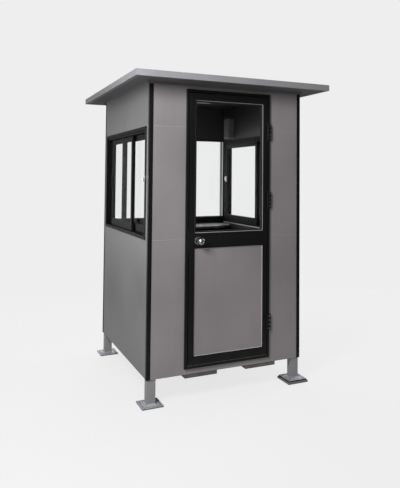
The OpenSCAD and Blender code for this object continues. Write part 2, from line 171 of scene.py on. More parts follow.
def crystals(tree, here, scale):
    """A shade of its own for each crystal of a zinc coat."""
    cells = add(tree, "TexVoronoi", {"Vector": here, "Scale": scale})
    return add(tree, "SeparateColor", {"Color": cells.outputs["Color"]}).outputs["Red"]


def seen_directly(tree):
    """1 for rays that come straight from the camera or through a pane, 0 for the others."""
    path = add(tree, "LightPath")
    return combine(tree, "MAXIMUM", path.outputs["Is Camera Ray"],
                   path.outputs["Is Transmission Ray"])


# ---- materials

DUST = (0.30, 0.27, 0.23, 1.0)
DUST_REACH = 0.42                               # how far up the walls the dust goes
RUST = (0.16, 0.085, 0.045, 1.0)
LEG_RUST = (0.15, 0.08, 0.045, 1.0)


def coated(name, colour, rough, metal=0.0, grain=0.3, grime=0.25, wave=0.0, streak=0.06, gloss=0.5):
    """Paint or powder coat: mottling, run marks, dust low down, a fine grain and, on sheet, the slow
    waves of a thin panel."""
    material, tree, shader = new_material(name)
    here = position(tree)
    cloud = noise(tree, here, 1.7, 4.0)
    runs = noise(tree, position(tree, (9.0, 9.0, 0.7)), 1.0, 5.0, 0.6)
    specks = noise(tree, here, 420.0, 1.0)
    base = blend(tree, remap(tree, cloud, 0.3, 0.7), shade_of(colour, 0.90), shade_of(colour, 1.10))
    marks = combine(tree, "MULTIPLY", remap(tree, runs, 0.52, 0.78), streak * 4)
    base = blend(tree, marks, base, shade_of(colour, 0.72))
    low = remap(tree, height_above(tree), Z_LOW + DUST_REACH, Z_LOW - 0.05)
    patchy = combine(tree, "MULTIPLY", low, remap(tree, noise(tree, here, 11.0, 6.0), 0.35, 0.75))
    dust = combine(tree, "MULTIPLY", patchy, grime)
    base = blend(tree, dust, base, DUST)
    rough_here = remap(tree, combine(tree, "ADD", cloud, dust), 0.2, 1.0, rough - 0.05, rough + 0.14)
    shader.inputs["Metallic"].default_value = metal
    shader.inputs["Specular IOR Level"].default_value = gloss
    normal = bump(tree, specks, 0.00012, grain)
    if wave:
        slow = noise(tree, position(tree, (1.0, 1.0, 0.6)), 3.2, 1.0)
        normal = bump(tree, slow, wave, 1.0, normal)
    wire(tree, shader, base, rough_here, normal)
    return material


def galvanised(name):
    """Hot-dip zinc: large cool crystals, each at its own shade, with dull patches and rust specks."""
    material, tree, shader = new_material(name)
    here = position(tree)
    shade = crystals(tree, here, 62.0)
    base = blend(tree, shade, (0.30, 0.31, 0.335, 1.0), (0.47, 0.48, 0.51, 1.0))
    patch = remap(tree, noise(tree, here, 23.0, 5.0), 0.5, 0.8)
    base = blend(tree, patch, base, (0.36, 0.35, 0.34, 1.0))
    rust = remap(tree, noise(tree, here, 140.0, 6.0, 0.7), 0.70, 0.78, 0.0, 0.5)
    base = blend(tree, rust, base, RUST)
    shader.inputs["Metallic"].default_value = 0.65
    wire(tree, shader, base, remap(tree, shade, 0.0, 1.0, 0.38, 0.58),
         bump(tree, noise(tree, here, 260.0, 2.0), 0.0002, 0.5))
    return material


def leg_paint(name, plate_top, plate_edge_scale_and_shade):
    """Grey paint on the leg tubes over zinc plates: the paint stops just above the plates, whose
    upright edges are painted one flat darker colour, partly the dark cut steel and partly painted shade."""
    material, tree, shader = new_material(name)
    here = position(tree)
    edge = combine(tree, "ADD", height_above(tree),
                   remap(tree, noise(tree, here, 60.0), 0.0, 1.0, -0.004, 0.004))
    painted = remap(tree, edge, plate_top + 0.006, plate_top + 0.012)
    shade = crystals(tree, here, 70.0)
    zinc = blend(tree, shade, (0.36, 0.37, 0.41, 1.0), (0.52, 0.53, 0.57, 1.0))
    scuffs = remap(tree, noise(tree, position(tree, (1.0, 1.0, 0.25)), 55.0, 7.0, 0.65), 0.62, 0.74)
    paint = blend(tree, noise(tree, here, 6.0, 3.0), (0.25, 0.25, 0.255, 1.0), (0.31, 0.31, 0.315, 1.0))
    paint = blend(tree, combine(tree, "MULTIPLY", scuffs, 0.55), paint, (0.42, 0.42, 0.43, 1.0))
    base = blend(tree, painted, zinc, paint)
    rust = remap(tree, noise(tree, here, 120.0, 6.0, 0.7), 0.70, 0.80, 0.0, 0.45)
    base = blend(tree, rust, base, LEG_RUST)
    # Painted shade: the plates' upright faces below their top take the darker edge colour, standing in
    # for the shade at the plate's edge.
    facing = add(tree, "SeparateXYZ", {"Vector": add(tree, "NewGeometry").outputs["Normal"]})
    upright = remap(tree, combine(tree, "ABSOLUTE", facing.outputs["Z"], 0.0), 0.5, 0.4)
    below = remap(tree, height_above(tree), plate_top - 0.0005, plate_top - 0.001)
    base = blend(tree, combine(tree, "MULTIPLY", upright, below), base, plate_edge_scale_and_shade)
    shader.inputs["Metallic"].default_value = 0.20
    wire(tree, shader, base, remap(tree, shade, 0.0, 1.0, 0.38, 0.55),
         bump(tree, noise(tree, here, 300.0, 2.0), 0.0002, 0.5))
    return material


def bare_metal(name, colour, rough, brushed=(1.0, 1.0, 1.0), depth=0.00004):
    """Polished or brushed metal with fine scratches along one direction and faint smudges."""
    material, tree, shader = new_material(name)
    scratches = noise(tree, position(tree, brushed), 90.0, 6.0, 0.7)
    smudge = noise(tree, position(tree), 38.0, 3.0)
    base = blend(tree, smudge, shade_of(colour, 0.93), shade_of(colour))
    shader.inputs["Metallic"].default_value = 1.0
    wire(tree, shader, base, remap(tree, smudge, 0.3, 0.8, rough, rough + 0.10),
         bump(tree, scratches, depth, 0.6))
    return material


def moulded(name, colour, rough, grain=500.0, depth=0.0001, spread=0.12, glow=0.0):
    """Plastic or rubber with a fine moulded texture, which may glow."""
    material, tree, shader = new_material(name)
    here = position(tree)
    cloud = noise(tree, here, 14.0, 4.0)
    base = blend(tree, cloud, shade_of(colour, 1 - spread), shade_of(colour, 1 + spread))
    wire(tree, shader, base, remap(tree, cloud, 0.2, 0.8, rough - 0.04, rough + 0.08),
         bump(tree, noise(tree, here, grain, 2.0), depth, 0.6))
    if glow:
        shader.inputs["Emission Color"].default_value = (1.0, 1.0, 0.97, 1.0)
        shader.inputs["Emission Strength"].default_value = glow
    return material


def laminate(name, colour):
    """Dark laminate with a faint long grain and wiped smears."""
    material, tree, shader = new_material(name)
    fibres = noise(tree, position(tree, (2.0, 40.0, 40.0)), 6.0, 6.0, 0.65)
    smear = noise(tree, position(tree, (3.0, 8.0, 8.0)), 2.0, 3.0)
    base = blend(tree, remap(tree, fibres, 0.3, 0.75), shade_of(colour, 0.75), shade_of(colour, 1.3))
    wire(tree, shader, base, remap(tree, smear, 0.3, 0.7, 0.28, 0.46),
         bump(tree, fibres, 0.0001, 0.5))
    return material


STUD_PITCH = 0.03
GLASS_IOR = 1.04                                # low, so that the panes show hardly a reflection


def vinyl_floor(name):
    """Sheet flooring with raised studs in rows, scuffed where people stand."""
    material, tree, shader = new_material(name)
    here = position(tree)
    across = add(tree, "SeparateXYZ", {"Vector": here})
    squares = []
    for axis in ("X", "Y"):
        turns = combine(tree, "DIVIDE", across.outputs[axis], STUD_PITCH)
        cell = combine(tree, "PINGPONG", turns, 0.5)
        squares.append(combine(tree, "MULTIPLY", cell, cell))
    far = combine(tree, "SQRT", combine(tree, "ADD", *squares), 0.0)
    stud = remap(tree, far, 0.30, 0.24)
    scuff = remap(tree, noise(tree, here, 7.0, 8.0, 0.65), 0.45, 0.75)
    base = blend(tree, scuff, (0.045, 0.045, 0.048, 1.0), (0.12, 0.115, 0.105, 1.0))
    wire(tree, shader, base, remap(tree, scuff, 0.0, 1.0, 0.42, 0.68), bump(tree, stud, 0.0008, 0.8))
    return material


def clear_glass(name, tint):
    """Float glass that lets the lamps through, with faint dust on it."""
    material, tree, shader = new_material(name)
    for socket, value in (("Transmission Weight", 1.0), ("IOR", GLASS_IOR), ("Roughness", 0.0)):
        shader.inputs[socket].default_value = value
    smear = remap(tree, noise(tree, position(tree, (1.0, 1.0, 0.5)), 5.0, 6.0), 0.45, 0.8)
    tree.links.new(blend(tree, smear, shade_of(tint), shade_of(tint, 0.985)),
                   shader.inputs["Base Color"])
    passing = add(tree, "BsdfTransparent", {"Color": shade_of(tint)})
    shadow = add(tree, "LightPath").outputs["Is Shadow Ray"]
    mix_surface(tree, shadow, shader, passing)
    return material


CLADDING = coated("cladding_paint", (0.283, 0.262, 0.269), 0.42, metal=0.25, grain=0.35,
                  grime=0.22, wave=0.0016)
# Painted shade: a darker copy of the cladding colour for the side and back walls, which carry the same
# sheets as the front.
SHADED_SIDE_CLADDING = coated("side_cladding_painted_shade", (0.205, 0.206, 0.209), 0.44, metal=0.25, grain=0.35,
                       grime=0.22, wave=0.0016)
BLACK = coated("black_powder_coat", (0.0045, 0.0048, 0.005), 0.42, grain=0.6, grime=0.03,
               streak=0.03, gloss=0.22)
WINDOW_BLACK = coated("window_frame_coat", (0.003, 0.003, 0.0032), 0.48, grain=0.6, grime=0.03,
                      streak=0.03, gloss=0.10)
PACKER_STEEL = coated("packer_steel_paint", (0.150, 0.148, 0.148), 0.50, grain=0.5, grime=0.0,
                      streak=0.10)
TRIM = coated("black_trim_coat", (0.004, 0.004, 0.0042), 0.45, grain=0.5, grime=0.04,
              streak=0.03, gloss=0.22)
BEAD = coated("bead_coat", (0.006, 0.006, 0.0062), 0.42, grain=0.4, grime=0.0, gloss=0.3)
EDGING = coated("roof_edge_coat", (0.285, 0.277, 0.294), 0.50, metal=0.08, grain=0.25, grime=0.0,
                streak=0.10)
# Painted shade: the eaves trim is darkened to the shadow under the roof's overhang.
SHADED_EAVES = coated("eaves_painted_shade", (0.18, 0.17, 0.175), 0.50, grain=0.3, grime=0.0)
# Painted shade: the roof panel is darkened to the shade on the soffit under the eaves.
SHADED_SOFFIT = coated("soffit_painted_shade", (0.135, 0.135, 0.136), 0.50, grain=0.3, grime=0.0, wave=0.0012)
ROOF_TOP = coated("roof_sheet_paint", (0.22, 0.22, 0.225), 0.46, metal=0.1, grain=0.3, grime=0.0,
                  wave=0.0015, streak=0.12)
FRAME_STEEL = coated("frame_steel_paint", (0.068, 0.064, 0.065), 0.50, grain=0.5, grime=0.35)
LINING_COAT = coated("lining_coat", (0.023, 0.0225, 0.023), 0.50, grain=0.3, grime=0.06, wave=0.001,
                     gloss=0.4)
LINER = coated("reveal_liner_paint", (0.42, 0.42, 0.42), 0.40, grain=0.3, grime=0.05)
LEG_STEEL = leg_paint("leg_paint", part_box("leg_front_left")[0][2] + PLATE_T, (0.20, 0.20, 0.21, 1.0))
# The raised leg's plate edges are near black: a painted shadow of the dark gap under its plate.
RAISED_LEG = leg_paint("leg_paint_raised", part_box("leg_front_right")[0][2] + PLATE_T,
                       (0.012, 0.012, 0.012, 1.0))
ZINC = galvanised("zinc")
STAINLESS = bare_metal("stainless", (0.52, 0.51, 0.50), 0.11)
MILL_ALUMINIUM = bare_metal("mill_aluminium", (0.80, 0.80, 0.80), 0.34, (60.0, 60.0, 1.0))
RUBBER = moulded("rubber_gasket", (0.008, 0.008, 0.008), 0.70)
SEALANT = moulded("sealant", (0.33, 0.315, 0.32), 0.55, 90.0, 0.0003)
PLASTIC = coated("dark_box_paint", (0.150, 0.150, 0.153), 0.46, grain=0.5, grime=0.0, gloss=0.35)
DIFFUSER = moulded("light_diffuser", (0.78, 0.78, 0.76), 0.38, 300.0, 0.00005, 0.03, glow=0.11)
COUNTER = laminate("counter_laminate", (0.030, 0.029, 0.030))
FLOORING = vinyl_floor("vinyl_flooring")
GLASS = clear_glass("clear_glass", (0.985, 0.99, 0.99))


# ---- mesh helpers

class Piece:
    """Solids gathered into one mesh, each closed by itself."""

    def __init__(self):
        self.bm = bmesh.new()

    def block(self, low, high, soft=0.0008):
        """A box between two corners, with rounded edges."""
        made = bmesh.ops.create_cube(self.bm, size=1.0)["verts"]
        low, high = Vector(low), Vector(high)
        size = high - low
        for vert in made:
            vert.co = low + Vector(c * (p + 0.5) for c, p in zip(size, vert.co))
        if soft:
            edges = {e for v in made for e in v.link_edges}
            bmesh.ops.bevel(self.bm, geom=list(edges), offset=min(soft, min(map(abs, size)) * 0.3),
                            segments=2, profile=0.6, affect="EDGES")

    def on_wall(self, side, low, high, soft=0.0008):
        """A rounded box given by its (u, v, w) corners on a wall."""
        a, b = WALLS[side](*low), WALLS[side](*high)
        self.block([min(p, q) for p, q in zip(a, b)], [max(p, q) for p, q in zip(a, b)], soft)

    def prism(self, loops):
        """A closed solid through two or more outlines of as many points each."""
        rows = [[self.bm.verts.new(p) for p in loop] for loop in loops]
        count = len(rows[0])
        for first, second in zip(rows, rows[1:]):
            for i in range(count):
                j = (i + 1) % count
                self.bm.faces.new((first[i], first[j], second[j], second[i]))
        self.bm.faces.new(rows[0][::-1])
        self.bm.faces.new(rows[-1])

    def ring(self, side, u0, u1, v0, v1, outline, gap=0.0003):
        """A moulding round a rectangle on a wall, mitred at its corners. The outline's points are
        (distance in from the rectangle's edge, w)."""
        corners = [(u0, v0, 1, 1), (u1, v0, -1, 1), (u1, v1, -1, -1), (u0, v1, 1, -1)]
        for i, (ua, va, sa, ta) in enumerate(corners):
            ub, vb, sb, tb = corners[(i + 1) % 4]
            along = Vector((ub - ua, vb - va)).normalized() * gap
            start = [WALLS[side](ua + sa * t + along.x, va + ta * t + along.y, w) for t, w in outline]
            end = [WALLS[side](ub + sb * t - along.x, vb + tb * t - along.y, w) for t, w in outline]
            self.prism([start, end])

    def lathe(self, centre, axis, outline, sides=32):
        """A turned solid: the outline's points are (height along the axis, radius)."""
        axis = Vector(axis).normalized()
        side = axis.orthogonal().normalized()
        other = axis.cross(side)
        loops = []
        for height, radius in outline:
            middle = Vector(centre) + axis * height
            loops.append([middle + (side * math.cos(a) + other * math.sin(a)) * max(radius, 1e-6)
                          for a in (2 * math.pi * i / sides for i in range(sides))])
        self.prism(loops)

    def make(self, name, body, material, hides=(), smooth=None):
        """Closes the mesh into an object that rides on a body."""
        bmesh.ops.recalc_face_normals(self.bm, faces=self.bm.faces)
        mesh = bpy.data.meshes.new(name)
        self.bm.to_mesh(mesh)
        self.bm.free()
        piece = bpy.data.objects.new(name, mesh)
        bpy.context.scene.collection.objects.link(piece)
        mesh.materials.append(material)
        if smooth:
            mesh.shade_smooth()
            mesh.set_sharp_from_angle(angle=math.radians(smooth))
        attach(piece, body)
        if hides:
            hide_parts(*hides)


def rounded(points, radius, steps=3):
    """An outline with each corner turned into a short arc."""
    out = []
    count = len(points)
    for i, point in enumerate(points):
        here = Vector(point)
        before, after = Vector(points[i - 1]) - here, Vector(points[(i + 1) % count]) - here
        cut = min(radius, before.length * 0.45, after.length * 0.45)
        a, b = here + before.normalized() * cut, here + after.normalized() * cut
        for k in range(steps):
            t = k / (steps - 1)
            out.append(tuple(a * (1 - t) ** 2 + here * 2 * t * (1 - t) + b * t ** 2))
    return out


def paint(node, material):
    """Gives a carried-over node its material."""
    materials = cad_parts[node].data.materials
    materials.clear()
    materials.append(material)


def soften(node, width):
    """Rounds a carried-over node's edges, with its mesh as it was."""
    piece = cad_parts[node]
    weld = piece.modifiers.new("weld", "WELD")
    weld.merge_threshold = 1e-5
    edge = piece.modifiers.new("edges", "BEVEL")
    edge.width = width
    edge.segments = 2
    edge.limit_method = "ANGLE"
    edge.angle_limit = math.radians(30)
    edge.use_clamp_overlap = True
    edge.harden_normals = False


# ---- carried-over nodes

NODE_MATERIALS = (
    (FLOORING, ("floor_deck",)),
    (FRAME_STEEL, ("base_frame", "underfloor_bearers")),
    (LEG_STEEL, ("leg_front_left", "leg_back_left", "leg_back_right")),
    (RAISED_LEG, ("leg_front_right",)),
    (PACKER_STEEL, ("foot_packer",)),
    (LINING_COAT, ("corner_posts", "front_wall_left", "front_wall_right", "front_wall_header",
                   "left_wall", "right_wall", "back_wall")),
    (CLADDING, ("front_cladding", "door_kick_strip", "door_panel")),
    (SHADED_SIDE_CLADDING, ("left_cladding", "right_cladding", "back_cladding")),
    (SHADED_SOFFIT, ("roof_panel",)),
    (EDGING, ("roof_edging",)),
    (SHADED_EAVES, ("eaves_trim",)),
    (WINDOW_BLACK, ("left_window_frame", "left_window_sashes", "right_window_frame",
                    "right_window_sashes", "back_window_frame", "back_window_bar")),
    (GLASS, ("left_window_glass", "right_window_glass", "back_window_glass", "door_glass")),
    (BLACK, ("door_frame", "door_leaf")),
    (TRIM, ("corner_trims", "hinges_frame", "hinges_door")),
    (BEAD, ("door_beads",)),
    (STAINLESS, ("lock_rosettes", "door_knob")),
    (COUNTER, ("counter",)),
    (PLASTIC, ("wall_box", "ceiling_light")),
)
SOFT_EDGES = (                                  # bevel widths in millimetres
    (0.6, ("roof_edging", "eaves_trim")),
    (0.8, ("corner_trims",)),
    (1.0, ("door_kick_strip", "foot_packer", "leg_front_left", "leg_front_right", "leg_back_left",
           "leg_back_right", "door_frame")),
    (1.2, ("front_cladding", "left_cladding", "right_cladding", "back_cladding", "door_leaf")),
    (2.0, ("underfloor_bearers", "counter")),
    (3.0, ("wall_box",)),
    (4.0, ("ceiling_light",)),
)
for material, nodes in NODE_MATERIALS:
    for node in nodes:
        paint(node, material)
for width, nodes in SOFT_EDGES:
    for node in nodes:
        soften(node, width * MM)

# ---- door and hinges

LEAF_LOW, LEAF_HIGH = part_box("door_leaf")
FRAME_LOW, FRAME_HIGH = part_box("door_frame")
PANE_LOW, PANE_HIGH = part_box("door_glass")
BEAD_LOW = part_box("door_beads")[0]
PANEL_LOW, PANEL_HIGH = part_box("door_panel")
KNOB_LOW, KNOB_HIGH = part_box("door_knob")
ROSE_LOW, ROSE_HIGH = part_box("lock_rosettes")
KNOB_AXIS = (KNOB_LOW + KNOB_HIGH) / 2
HINGE_SPANS = [(low[2], high[2]) for low, high in lumps("hinges_frame", 2, 0.1)]
DECK_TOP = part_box("floor_deck")[1][2]
FRAME_REACH = 0.018                             # the door frame's width inside its opening
KNUCKLE_R = 0.007
HINGE_BACK = FRAME_LOW[1]                       # the hinge plates lie on this plane
HINGE_FRONT = HINGE_BACK - 0.004
PIN = Vector(((LEAF_HIGH[0] + FRAME_HIGH[0] - FRAME_REACH) / 2,
              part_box("hinges_frame")[0][1] + KNUCKLE_R, 0))


def screw(piece, at, axis, radius):
    """A dished screw head with a round drive recess."""
    piece.lathe(at, axis, [(-0.0004, radius), (0.0003, radius), (0.0009, radius * 0.78),
                           (0.0010, radius * 0.42), (0.0002, radius * 0.38), (0.0002, 0.0)], 20)


def hinge_screws():
    """Four screws in each hinge plate."""
    inset = 0.011
    columns = {"cabin": (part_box("hinges_frame")[1][0] - inset, STAINLESS),
               "door": (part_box("hinges_door")[0][0] + inset, TRIM)}
    for body, (x, metal) in columns.items():
        piece = Piece()
        for low, high in HINGE_SPANS:
            for share in (0.12, 0.37, 0.63, 0.88):
                screw(piece, (x, HINGE_FRONT, low + (high - low) * share), (0, -1, 0), 0.0042)
        piece.make("hinge_screws_" + body, body, metal, smooth=40)


def hinge_tips():
    """Domed ends on the hinge pins."""
    piece = Piece()
    for low, high in HINGE_SPANS:
        for z, way in ((low, -1), (high, 1)):
            piece.lathe((PIN[0], PIN[1], z), (0, 0, way),
                        [(-0.001, 0.0055), (0.0, 0.0066), (0.0015, 0.0066), (0.003, 0.0052),
                         (0.0042, 0.003), (0.0046, 0.0)])
    piece.make("hinge_tips", "cabin", TRIM, smooth=40)


def door_gasket():
    """Bulb seal on the frame's stop, behind the leaf."""
    piece = Piece()
    stop = -LEAF_HIGH[1] - HALF_D - 0.005
    outline = [(FRAME_REACH + t, w) for t, w in rounded(
        [(0.002, stop), (0.012, stop), (0.012, stop + 0.0022), (0.009, stop + 0.0042),
         (0.005, stop + 0.0042), (0.002, stop + 0.0022)], 0.001)]
    piece.ring("front", FRAME_LOW[0], FRAME_HIGH[0], DECK_TOP - FRAME_REACH + 0.0005, FRAME_HIGH[2],
               outline)
    piece.make("door_gasket", "cabin", RUBBER)


def pane_gasket(piece, side, low, high):
    """A wedge of rubber round a box's edge, on its outer and its inner face."""
    (u0, v0, w0), (u1, v1, w1) = low, high
    for face, way in ((w1, 1), (w0, -1)):
        outline = [(0.0002, face), (0.0002, face + way * 0.0034), (0.0012, face + way * 0.0034),
                   (0.0046, face + way * 0.0006), (0.0046, face)]
        piece.ring(side, u0, u1, v0, v1, outline)


def door_glazing():
    """Gaskets inside the beads, and a pale strip along the beads' outer edge that is a painted
    highlight.
    """
    bead = 0.010
    low = (PANE_LOW[0] + bead, PANE_LOW[2] + bead, -HALF_D - PANE_HIGH[1])
    high = (PANE_HIGH[0] - bead, PANE_HIGH[2] - bead, -HALF_D - PANE_LOW[1])
    rubber = Piece()
    pane_gasket(rubber, "front", low, high)
    rubber.make("door_pane_gasket", "door", RUBBER)
    # Painted highlight: a pale strip on the black beads' outer edge, where light catches it.
    line = Piece()
    face = -HALF_D - BEAD_LOW[1]
    line.ring("front", PANE_LOW[0], PANE_HIGH[0], PANE_LOW[2], PANE_HIGH[2],
              [(0.0, face - 0.0005), (0.0, face + 0.0015), (0.0028, face + 0.0015),
               (0.0034, face - 0.0005)])
    line.make("door_bead_painted_highlight", "door", LINER)


def panel_edging():
    """A slim bright trim round the lower panel."""
    piece = Piece()
    face = -HALF_D - PANEL_LOW[1]
    piece.ring("front", PANEL_LOW[0], PANEL_HIGH[0], PANEL_LOW[2], PANEL_HIGH[2],
               [(0.0, face - 0.0005), (0.0, face + 0.0022), (0.0022, face + 0.0028),
                (0.0045, face + 0.0012), (0.0050, face - 0.0005)])
    piece.make("panel_edging", "door", LINER, smooth=40)


def leaf_joints():
    """Seams where the rails butt against the stiles, as fine raised lips."""
    piece = Piece()
    rails = [(LEAF_LOW[2], PANEL_LOW[2]), (PANEL_HIGH[2], PANE_LOW[2]), (PANE_HIGH[2], LEAF_HIGH[2])]
    face = -HALF_D - LEAF_LOW[1]
    for v0, v1 in rails:
        for u in (PANE_LOW[0], PANE_HIGH[0]):
            piece.on_wall("front", (u - 0.0006, v0 + 0.002, face - 0.0004),
                          (u + 0.0006, v1 - 0.002, face + 0.0005), 0.0002)
    piece.make("leaf_joints", "door", TRIM)


def key_and_turn():
    """Key cylinder in the outer knob and a turn button in the inner one."""
    x, z = KNOB_AXIS[0], KNOB_AXIS[2]
    outer = Piece()
    outer.lathe((x, KNOB_LOW[1], z), (0, -1, 0),
                [(-0.001, 0.0095), (0.0006, 0.0095), (0.0012, 0.0088), (0.0012, 0.0078),
                 (0.0005, 0.0075), (0.0009, 0.0)])
    outer.lathe((x, KNOB_HIGH[1], z), (0, 1, 0),
                [(-0.001, 0.0085), (0.002, 0.0085), (0.003, 0.0078), (0.003, 0.0)])
    outer.block((x - 0.0014, KNOB_HIGH[1] + 0.0028, z - 0.008),
                (x + 0.0014, KNOB_HIGH[1] + 0.0095, z + 0.008), 0.001)
    outer.make("knob_cylinder", "knob", STAINLESS, smooth=40)
    slot = Piece()
    slot.block((x - 0.0006, KNOB_LOW[1] - 0.0013, z - 0.0042),
               (x + 0.0006, KNOB_LOW[1] - 0.0004, z + 0.0042), 0.0002)
    slot.make("knob_keyway", "knob", RUBBER)


def rosette_screws():
    """Two screws in the inner rosette."""
    piece = Piece()
    reach = (ROSE_HIGH[0] - ROSE_LOW[0]) / 2 * 0.66
    for way in (-1, 1):
        screw(piece, (KNOB_AXIS[0] + way * reach, ROSE_HIGH[1], KNOB_AXIS[2]), (0, 1, 0), 0.003)
    piece.make("rosette_screws", "door", STAINLESS, smooth=40)


def latch_plates():
    """Face plate and bolt on the leaf's edge, and the strike plate on the frame."""
    z = KNOB_AXIS[2]
    y = (LEAF_LOW[1] + LEAF_HIGH[1]) / 2
    leaf, jamb = LEAF_LOW[0], LEAF_LOW[0] - 0.005
    plate = Piece()
    plate.block((leaf - 0.0014, y - 0.012, z - 0.075), (leaf + 0.0005, y + 0.012, z + 0.075), 0.0008)
    plate.block((leaf - 0.0026, y - 0.006, z - 0.012), (leaf, y + 0.006, z + 0.012), 0.001)
    for way in (-1, 1):
        screw(plate, (leaf - 0.0012, y, z + way * 0.062), (-1, 0, 0), 0.0035)
    plate.make("latch_plate", "door", STAINLESS, smooth=40)
    strike = Piece()
    for y0, y1, z0, z1 in ((-0.014, 0.014, -0.045, -0.017), (-0.014, 0.014, 0.017, 0.045),
                           (-0.014, -0.008, -0.0175, 0.0175), (0.008, 0.014, -0.0175, 0.0175)):
        strike.block((jamb - 0.0005, y + y0, z + z0), (jamb + 0.0011, y + y1, z + z1), 0.0006)
    strike.make("strike_plate", "cabin", STAINLESS)


def threshold():
    """Ribbed aluminium strip across the doorway."""
    ribs, pitch = 6, 0.0115
    x0, x1 = LEAF_LOW[0] - 0.003, LEAF_HIGH[0] + 0.003
    piece = Piece()
    piece.block((x0, FRAME_LOW[1] + 0.004, DECK_TOP - 0.0003),
                (x1, FRAME_HIGH[1] - 0.004, DECK_TOP + 0.0010), 0.0004)
    for i in range(ribs):
        y = FRAME_LOW[1] + 0.012 + i * pitch
        piece.block((x0, y - 0.0016, DECK_TOP + 0.0008), (x1, y + 0.0016, DECK_TOP + 0.0021), 0.0005)
    piece.make("threshold_strip", "cabin", MILL_ALUMINIUM)


# ---- windows

def on_wall_box(side, low, high):
    """A box as its lowest and highest (u, v, w) on a side or the back wall."""
    if side == "left":
        return (-high[1], low[2], -HALF_W - high[0]), (-low[1], high[2], -HALF_W - low[0])
    if side == "right":
        return (low[1], low[2], low[0] - HALF_W), (high[1], high[2], high[0] - HALF_W)
    return (-high[0], low[2], low[1] - HALF_D), (-low[0], high[2], high[1] - HALF_D)


def pane_faces(side):
    """The (u, v, w) boxes round the ends, along X, of a window's panes."""
    return [on_wall_box(side, low, high) for low, high in lumps(side + "_window_glass", 0)]


def window_frame(side):
    """A side window frame's lowest and highest (u, v, w)."""
    return on_wall_box(side, *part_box(side + "_window_frame"))


def window_gaskets():
    """Rubber round the panes' ends along X: round each face of a side window's panes, and at the
    upright edges of the back window's."""
    for side in ("left", "right", "back"):
        piece = Piece()
        for low, high in pane_faces(side):
            pane_gasket(piece, side, low, high)
        piece.make(side + "_pane_gaskets", "cabin", RUBBER)


def sash_pulls():
    """Upright finger pulls on the side windows' outer sashes."""
    to_stile, half_length = 0.016, 0.055
    for side in SIDES:
        (u0, v0, _), (u1, v1, w1) = max(pane_faces(side), key=lambda box: box[1][2])
        stile = u0 - to_stile if side == "left" else u1 + to_stile
        middle = (v0 + v1) / 2
        face = w1 + 0.007
        piece = Piece()
        outline = [(-0.007, face - 0.0003), (-0.007, face + 0.004), (-0.003, face + 0.006),
                   (0.003, face + 0.006), (0.007, face + 0.004), (0.007, face - 0.0003)]
        piece.prism([[WALLS[side](stile + t, v, w) for t, w in outline]
                     for v in (middle - half_length, middle + half_length)])
        piece.make(side + "_sash_pull", "cabin", TRIM, smooth=50)


def window_latches():
    """A small bright latch on one jamb of each side window: outside on the left one and inside on
    the right one."""
    for side, inset, way in (("left", 0.0072, 1), ("right", 0.060, -1)):
        (_, v0, w0), (u1, v1, w1) = window_frame(side)
        at, middle = u1 - inset, v0 + (v1 - v0) * 0.53
        face = w1 if way > 0 else w0
        piece = Piece()
        for out, reach, half, below, above in ((-0.0003, 0.008, 0.006, 0.026, 0.026),
                                               (0.0075, 0.016, 0.0045, 0.012, 0.020)):
            lo, hi = sorted((face + way * out, face + way * reach))
            piece.on_wall(side, (at - half, middle - below, lo), (at + half, middle + above, hi), 0.0025)
        piece.make(side + "_window_latch", "cabin", MILL_ALUMINIUM, smooth=40)


def drain_caps():
    """Two small hoods over the drain slots of each side window's sill."""
    half = 0.016
    for side in SIDES:
        (u0, v0, _), (u1, _, w1) = window_frame(side)
        outline = [(v0 + 0.006, w1 - 0.0003), (v0 + 0.006, w1 + 0.0030), (v0 + 0.011, w1 + 0.0034),
                   (v0 + 0.016, w1 + 0.0012), (v0 + 0.017, w1 - 0.0003)]
        piece = Piece()
        for share in (0.2, 0.8):
            u = u0 + (u1 - u0) * share
            piece.prism([[WALLS[side](u + t, v, w) for v, w in outline] for t in (-half, half)])
        piece.make(side + "_drain_caps", "cabin", TRIM)


def sill_strip():
    """A bright trim along the inside edge of each side window's sill."""
    for side in SIDES:
        (u0, v0, w0), (u1, _, _) = window_frame(side)
        outline = [(v0 + 0.001, w0 - 0.0016), (v0 + 0.007, w0 - 0.0016), (v0 + 0.0085, w0 + 0.0004),
                   (v0 + 0.001, w0 + 0.0004)]
        piece = Piece()
        piece.prism([[WALLS[side](u, v, w) for v, w in outline] for u in (u0 + 0.002, u1 - 0.002)])
        piece.make(side + "_sill_strip", "cabin", LINER)


def reveal_liners():
    """Pale liners on the back window's jambs, inside and outside the glass."""
    low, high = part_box("back_window_frame")
    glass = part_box("back_window_glass")
    sheet, clear, off_glass = 0.0012, 0.001, 0.004
    piece = Piece()
    for x0, x1 in ((glass[0][0], glass[0][0] + sheet), (glass[1][0] - sheet, glass[1][0])):
        for y0, y1 in ((low[1] + clear, glass[0][1] - off_glass),
                       (glass[1][1] + off_glass, high[1] - clear)):
            piece.block((x0, y0, glass[0][2] + clear), (x1, y1, glass[1][2] - clear), 0.0004)
    piece.make("back_reveal_liners", "cabin", LINER)


# ---- walls and roof

